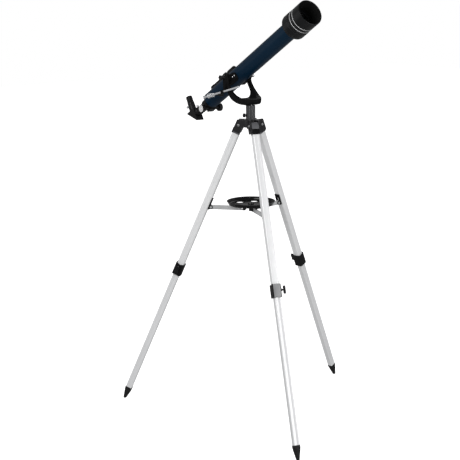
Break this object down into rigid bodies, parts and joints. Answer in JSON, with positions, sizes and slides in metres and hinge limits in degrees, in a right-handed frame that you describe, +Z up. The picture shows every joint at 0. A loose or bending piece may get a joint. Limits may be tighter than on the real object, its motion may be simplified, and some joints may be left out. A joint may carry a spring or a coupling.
{
  "type": "telescope on tripod",
  "caption": "Small refracting telescope with finder, star diagonal and rack focuser on a swept-back fork, carried by a folding extendable tripod with an accessory tray.",
  "frame": {"origin": "on the floor, on the azimuth axis, midway between the three feet", "axes": "+Z up, +X the way the tube points in plan, +Y the left side of the telescope"},
  "size_m": [0.8942, 0.8432, 1.5208],
  "materials": {
    "tube_blue": "satin dark blue enamel with a faint metallic fleck",
    "shell_black": "satin moulded black",
    "casting_black": "fine-grained matt black enamel on a casting",
    "chrome": "bright plated",
    "silver_trim": "satin silver ring",
    "leg_silver": "pale clear-anodised extrusion",
    "leg_silver_slim": "pale clear-anodised extrusion, slightly duller",
    "column_grey": "dark grey fluted casting",
    "spreader_grey": "grey moulded, satin",
    "tray_black": "glossy black",
    "foot_rubber": "matt black rubber",
    "knob_black": "satin black moulded grip",
    "barrel_steel": "polished plated barrel",
    "glass": "coated optical glass",
    "mirror": "first-surface mirror",
    "spindle_steel": "ground steel"
  },
  "bodies": {
    "tripod": {"tripod_hub": "casting_black", "column": "column_grey", "hinge_bolts": "chrome"},
    "azimuth_screw": {"azimuth_lock_screw": "knob_black"},
    "fork": {"yoke": "casting_black", "azimuth_spindle": "spindle_steel"},
    "tangent": {"tangent_arm": "casting_black"},
    "tube": {"main_tube": "tube_blue", "objective_cell": "shell_black", "objective_lenses": "glass", "stop_rings": "shell_black", "tube_cradle": "casting_black", "pivot_bolts": "chrome", "small_screws": "chrome", "finder_bracket": "shell_black", "finder_tube": "shell_black", "finder_lenses": "glass", "focuser_housing": "shell_black"},
    "knob_right": {"altitude_knob_right": "knob_black"},
    "knob_left": {"altitude_knob_left": "chrome"},
    "dew": {"dew_shield": "shell_black", "trim_rings": "silver_trim"},
    "drawtube_body": {"drawtube": "shell_black"},
    "focus": {"focus_shaft": "chrome", "focus_knobs": "knob_black", "knob_caps": "silver_trim"},
    "draw_screw": {"drawtube_screw": "chrome"},
    "diagonal": {"diagonal_housing": "shell_black", "diagonal_mirror": "mirror"},
    "diag_screw": {"diagonal_screw": "chrome"},
    "eyepiece": {"eyepiece_barrel": "barrel_steel", "eyepiece_body": "shell_black", "eye_lens": "glass"},
    "rod": {"rod_swivel": "casting_black", "slow_motion_rod": "chrome"},
    "block": {"rod_block": "chrome"},
    "nut": {"rod_nut": "chrome"},
    "tray": {"spreader_hub": "shell_black", "accessory_tray": "tray_black"},
    "leg_1": {"upper_leg_1": "leg_silver", "leg_fittings_1": "shell_black", "leg_clamp_1": "shell_black"},
    "lower_1": {"lower_leg_1": "leg_silver_slim", "foot_1": "foot_rubber"},
    "clamp_1": {"clamp_screw_1": "knob_black"},
    "arm_1": {"spreader_arm_1": "spreader_grey"},
    "leg_2": {"upper_leg_2": "leg_silver", "leg_fittings_2": "shell_black", "leg_clamp_2": "shell_black"},
    "lower_2": {"lower_leg_2": "leg_silver_slim", "foot_2": "foot_rubber"},
    "clamp_2": {"clamp_screw_2": "knob_black"},
    "arm_2": {"spreader_arm_2": "spreader_grey"},
    "leg_3": {"upper_leg_3": "leg_silver", "leg_fittings_3": "shell_black", "leg_clamp_3": "shell_black"},
    "lower_3": {"lower_leg_3": "leg_silver_slim", "foot_3": "foot_rubber"},
    "clamp_3": {"clamp_screw_3": "knob_black"},
    "arm_3": {"spreader_arm_3": "spreader_grey"}
  },
  "joints": [
    {"name": "azimuth_turn", "type": "hinge", "parent": "tripod", "child": "fork", "pos_m": [0, 0, 1.151], "axis": [0, 0, 1], "continuous": true},
    {"name": "altitude_tilt", "type": "hinge", "parent": "fork", "child": "tangent", "pos_m": [-0.0765, 0, 1.248], "axis": [0, -1, 0], "range_deg": [-40, 35]},
    {"name": "fine_tilt", "type": "hinge", "parent": "tangent", "child": "tube", "pos_m": [-0.0765, 0, 1.248], "axis": [0, -1, 0], "range_deg": [-4, 4]},
    {"name": "knob_right_turn", "type": "hinge", "parent": "tube", "child": "knob_right", "pos_m": [-0.0765, 0, 1.248], "axis": [0, 1, 0], "range_deg": [0, 180]},
    {"name": "knob_left_turn", "type": "hinge", "parent": "tube", "child": "knob_left", "pos_m": [-0.0765, 0, 1.248], "axis": [0, 1, 0], "range_deg": [0, 180]},
    {"name": "azimuth_lock_turn", "type": "hinge", "parent": "tripod", "child": "azimuth_screw", "pos_m": [0, 0, 1.115], "axis": [-0.342, -0.9397, 0], "range_deg": [0, 180]},
    {"name": "dew_shield_slide", "type": "slide", "parent": "tube", "child": "dew", "axis": [0.866, 0, 0.5], "range_m": [0, 0.03]},
    {"name": "drawtube_slide", "type": "slide", "parent": "tube", "child": "drawtube_body", "axis": [-0.866, 0, -0.5], "range_m": [-0.035, 0.04]},
    {"name": "focus_turn", "type": "hinge", "parent": "tube", "child": "focus", "pos_m": [-0.2483, 0, 1.12156], "axis": [0, -1, 0], "range_deg": [-335, 383]},
    {"name": "drawtube_screw_turn", "type": "hinge", "parent": "drawtube_body", "child": "draw_screw", "pos_m": [-0.32765, 0, 1.103], "axis": [-0.5, 0, 0.866], "range_deg": [0, 180]},
    {"name": "diagonal_turn", "type": "hinge", "parent": "drawtube_body", "child": "diagonal", "pos_m": [-0.33631, 0, 1.098], "axis": [0.866, 0, 0.5], "continuous": true},
    {"name": "diagonal_screw_turn", "type": "hinge", "parent": "diagonal", "child": "diag_screw", "pos_m": [-0.37582, 0, 1.11444], "axis": [0, -1, 0], "range_deg": [0, 180]},
    {"name": "eyepiece_slide", "type": "slide", "parent": "diagonal", "child": "eyepiece", "axis": [-0.5, 0, 0.866], "range_m": [0, 0.02]},
    {"name": "rod_swivel_turn", "type": "hinge", "parent": "tangent", "child": "rod", "pos_m": [-0.0765, -0.0675, 1.1975], "axis": [0, -1, 0], "range_deg": [-5, 5]},
    {"name": "rod_block_turn", "type": "hinge", "parent": "tube", "child": "block", "pos_m": [-0.1479, -0.0675, 1.1801], "axis": [0, -1, 0], "range_deg": [-1, 1]},
    {"name": "rod_nut_turn", "type": "hinge", "parent": "block", "child": "nut", "pos_m": [-0.1479, -0.0675, 1.1801], "axis": [0.9716, 0, 0.2368], "range_deg": [-1233, 1233]},
    {"name": "leg_1_fold", "type": "hinge", "parent": "tripod", "child": "leg_1", "pos_m": [0.03872, -0.01348, 1.08], "axis": [0.3289, 0.9444, 0], "range_deg": [0, 4]},
    {"name": "leg_1_slide", "type": "slide", "parent": "leg_1", "child": "lower_1", "axis": [-0.3755, 0.1308, 0.9176], "range_m": [0, 0.45]},
    {"name": "clamp_1_turn", "type": "hinge", "parent": "leg_1", "child": "clamp_1", "pos_m": [0.26178, -0.09116, 0.53494], "axis": [0.3289, 0.9444, 0], "range_deg": [0, 90]},
    {"name": "arm_1_turn", "type": "hinge", "parent": "leg_1", "child": "arm_1", "pos_m": [0.14166, -0.04933, 0.773], "axis": [0.3289, 0.9444, 0], "range_deg": [0, 31]},
    {"name": "leg_2_fold", "type": "hinge", "parent": "tripod", "child": "leg_2", "pos_m": [-0.00768, 0.04027, 1.08], "axis": [-0.9823, -0.1874, 0], "range_deg": [0, 4]},
    {"name": "leg_2_slide", "type": "slide", "parent": "leg_2", "child": "lower_2", "axis": [0.0745, -0.3906, 0.9176], "range_m": [0, 0.45]},
    {"name": "clamp_2_turn", "type": "hinge", "parent": "leg_2", "child": "clamp_2", "pos_m": [-0.05194, 0.27228, 0.53494], "axis": [-0.9823, -0.1874, 0], "range_deg": [0, 90]},
    {"name": "arm_2_turn", "type": "hinge", "parent": "leg_2", "child": "arm_2", "pos_m": [-0.02811, 0.14734, 0.773], "axis": [-0.9823, -0.1874, 0], "range_deg": [0, 31]},
    {"name": "leg_3_fold", "type": "hinge", "parent": "tripod", "child": "leg_3", "pos_m": [-0.03104, -0.02679, 1.08], "axis": [0.6534, -0.757, 0], "range_deg": [0, 4]},
    {"name": "leg_3_slide", "type": "slide", "parent": "leg_3", "child": "lower_3", "axis": [0.301, 0.2598, 0.9176], "range_m": [0, 0.45]},
    {"name": "clamp_3_turn", "type": "hinge", "parent": "leg_3", "child": "clamp_3", "pos_m": [-0.20983, -0.18113, 0.53494], "axis": [0.6534, -0.757, 0], "range_deg": [0, 90]},
    {"name": "arm_3_turn", "type": "hinge", "parent": "leg_3", "child": "arm_3", "pos_m": [-0.11355, -0.09801, 0.773], "axis": [0.6534, -0.757, 0], "range_deg": [0, 31]},
    {"name": "tray_rise", "type": "slide", "parent": "tripod", "child": "tray", "axis": [0, 0, 1], "range_m": [0, 0.065]}
  ],
  "couplings": [
    {"joint": "focus_turn", "follows": "drawtube_slide", "rad_per_m": 166.67},
    {"joint": "rod_swivel_turn", "follows": "fine_tilt", "ratio": 1.163},
    {"joint": "rod_block_turn", "follows": "fine_tilt", "ratio": 0.163},
    {"joint": "rod_nut_turn", "follows": "fine_tilt", "ratio": 308},
    {"joint": "leg_2_fold", "follows": "leg_1_fold", "ratio": 1},
    {"joint": "leg_3_fold", "follows": "leg_1_fold", "ratio": 1},
    {"joint": "tray_rise", "follows": "leg_1_fold", "m_per_rad": 0.9065},
    {"joint": "arm_1_turn", "follows": "leg_1_fold", "ratio": 7.5687},
    {"joint": "arm_2_turn", "follows": "leg_1_fold", "ratio": 7.5687},
    {"joint": "arm_3_turn", "follows": "leg_1_fold", "ratio": 7.5687}
  ]
}
